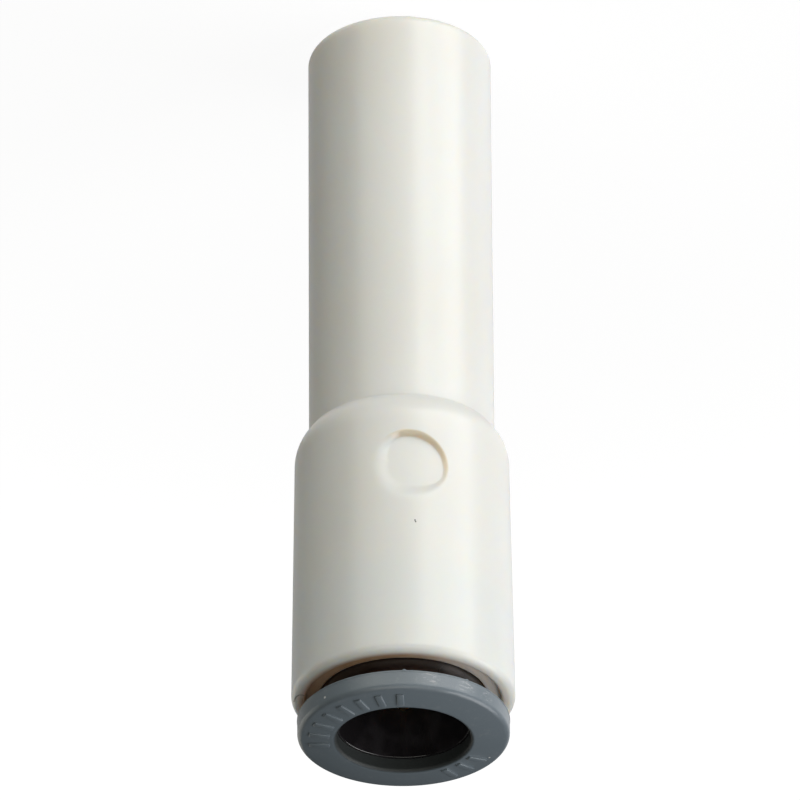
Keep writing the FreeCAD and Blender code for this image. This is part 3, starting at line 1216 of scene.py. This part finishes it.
def makeDashes(sizes):
    # the first dash lies at the front, in line with the axis, and the tree turns its copies
    work = bmesh.new()
    bmesh.ops.create_cube(work, size=1.0)
    size = Vector((sizes["width"], sizes["length"], sizes["height"] + sizes["sunk"])) * mm
    face = crownHeight(pressRing, sizes["middleRadius"])
    middle = Vector((0, -sizes["middleRadius"], face + (sizes["height"] - sizes["sunk"]) / 2)) * mm
    slope = math.atan(pressRing["crown"] / (pressRing["outer"] - pressRing["bore"]))
    tilt = Matrix.Rotation(slope, 3, "X")
    for vertex in work.verts:
        vertex.co = tilt @ Vector(a * b for a, b in zip(vertex.co, size)) + middle
    bmesh.ops.bevel(work, geom=work.edges[:], offset=sizes["bevel"] * mm, segments=sizes["bevelSteps"],
                    affect="EDGES", profile=0.5)
    mesh = bpy.data.meshes.new("pressDashes")
    work.to_mesh(mesh)
    work.free()
    piece = bpy.data.objects.new("pressDashes", mesh)
    bpy.context.scene.collection.objects.link(piece)
    values = {"Finish": finishes["release_ring_polymer"]}
    for label in ("Long", "Short"):
        first, step, count = sizes[label.lower() + "Arc"]
        values[label + " Arc Count"] = count
        values[label + " Arc First"] = math.radians(first)
        values[label + " Arc Step"] = math.radians(step)
    runTree(piece, makeDashTree(), values)
    facesOutward(piece)
    register(piece, "release_collet", "release_ring_polymer")


makeDashes(dashes)


# Floor, room light and lamps

floorLook = {
    "size": 3000.0,
    "gap": 0.02,
    "paper": 0.6,
    "white": 1.1,
    "whiteShare": 0.85,
    "shadowCore": 24.0,
    "shadowReach": 120.0,
}


def seenByEye(tree):
    # 1 for what the camera sees itself or through something clear
    rays = addNode(tree, "ShaderNodeLightPath").outputs
    return calculate(tree, "MAXIMUM", rays["Is Camera Ray"], rays["Is Transmission Ray"])


def makeFloor(look):
    # a sheet of pale paper that takes the shadow; only the camera sees it, so the low lamps shine through
    half = look["size"] / 2 * mm
    mesh = bpy.data.meshes.new("studioFloor")
    corners = [(-half, -half), (half, -half), (half, half), (-half, half)]
    mesh.from_pydata([(x, y, -look["gap"] * mm) for x, y in corners], [], [(0, 1, 2, 3)])
    floor = bpy.data.objects.new("studioFloor", mesh)
    bpy.context.scene.collection.objects.link(floor)
    material, tree, shader, place = startMaterial("floorPaper")
    tree.nodes.remove(shader)
    paperColor = (look["paper"], look["paper"], look["paper"], 1)
    paper = addNode(tree, "ShaderNodeBsdfDiffuse", {"Color": paperColor}).outputs[0]
    white = addNode(tree, "ShaderNodeEmission", {"Strength": look["white"]}).outputs[0]
    away = offCenter(tree, place)
    share = remap(tree, away, look["shadowCore"], look["shadowReach"], look["whiteShare"], 1.0)
    sheet = addNode(tree, "ShaderNodeMixShader", {0: share, 1: paper, 2: white}).outputs[0]
    clear = addNode(tree, "ShaderNodeBsdfTransparent").outputs[0]
    mix = addNode(tree, "ShaderNodeMixShader", {0: seenByEye(tree), 1: clear, 2: sheet}).outputs[0]
    tree.links.new(mix, tree.nodes["Material Output"].inputs["Surface"])
    mesh.materials.append(material)


makeFloor(floorLook)

roomLight = {
    "color": (1.0, 0.985, 0.95, 1),
    "above": 0.0,
    "below": 0.03,
    "horizon": 0.5,
    "white": (1, 1, 1, 1),
    "whiteInGloss": 0.7,
    "whiteSide": (-0.3, 0.35, -0.88),
    "whiteFrom": 0.3,
    "whiteFully": 0.8,
}


def makeRoomLight(look):
    # the eye sees white all round, and a glossy surface mirrors it on the white side
    world = bpy.data.worlds.new("studioRoom")
    bpy.context.scene.world = world
    world.use_nodes = True
    tree = world.node_tree
    tree.nodes.clear()
    direction = addNode(tree, "ShaderNodeTexCoord").outputs["Generated"]
    horizon = look["horizon"]
    level = remap(tree, axisValue(tree, direction, "Z"), -horizon, horizon, look["below"], look["above"])
    room = addNode(tree, "ShaderNodeBackground", {"Color": look["color"], "Strength": level}).outputs[0]
    white = addNode(tree, "ShaderNodeBackground", {"Color": look["white"], "Strength": 1.0}).outputs[0]
    inGloss = addNode(tree, "ShaderNodeLightPath").outputs["Is Glossy Ray"]
    toSide = measure(tree, "DOT_PRODUCT", direction, look["whiteSide"])
    mirrored = remap(tree, toSide, look["whiteFrom"], look["whiteFully"], 0.0, look["whiteInGloss"])
    mirrored = calculate(tree, "MULTIPLY", inGloss, mirrored)
    share = calculate(tree, "MAXIMUM", seenByEye(tree), mirrored)
    mix = addNode(tree, "ShaderNodeMixShader", {0: share, 1: room, 2: white}).outputs[0]
    output = addNode(tree, "ShaderNodeOutputWorld")
    tree.links.new(mix, output.inputs["Surface"])


makeRoomLight(roomLight)

# Each soft panel has its angle, elevation, width, height, level and colour. The level is about how
# brightly the panel alone lights a surface that faces it, where 1 shows colours as written.
keyColor = (1.0, 1.0, 1.0)
fillColor = (1.0, 0.99, 0.915)
softLamps = {
    "highKey": (-86, 36, 430, 270, 0.87, keyColor),
    "lowKey": (-50, -35, 400, 270, 0.68, keyColor),
    "lowFill": (9, -38, 580, 260, 0.57, fillColor),
    "highFill": (6, 38, 430, 260, 0.36, fillColor),
    "leftRim": (132, 0, 430, 300, 0.26, fillColor),
    "rightRim": (-137, -28, 280, 200, 0.04, keyColor),
}
lampDistance = 400.0


def makeLamp(name, angle, elevation, width, height, level, color):
    data = bpy.data.lights.new(name, "AREA")
    data.shape = "RECTANGLE"
    data.size = width * mm
    data.size_y = height * mm
    data.color = color
    data.energy = level * math.pi ** 2 * (lampDistance * mm) ** 2
    light = bpy.data.objects.new(name, data)
    bpy.context.scene.collection.objects.link(light)
    turn = math.radians(angle)
    lift = math.radians(elevation)
    flat = math.cos(lift)
    away = Vector((math.sin(turn) * flat, -math.cos(turn) * flat, math.sin(lift)))
    target = Vector((0, 0, mouthHeight / 2))
    light.location = (target + away * lampDistance) * mm
    light.rotation_euler = away.to_track_quat("Z", "Y").to_euler()
    light.visible_camera = False


for lampName, lamp in softLamps.items():
    makeLamp(lampName, *lamp)
bpy.context.scene.view_settings.view_transform = "Standard"
print("floor and lamps placed")
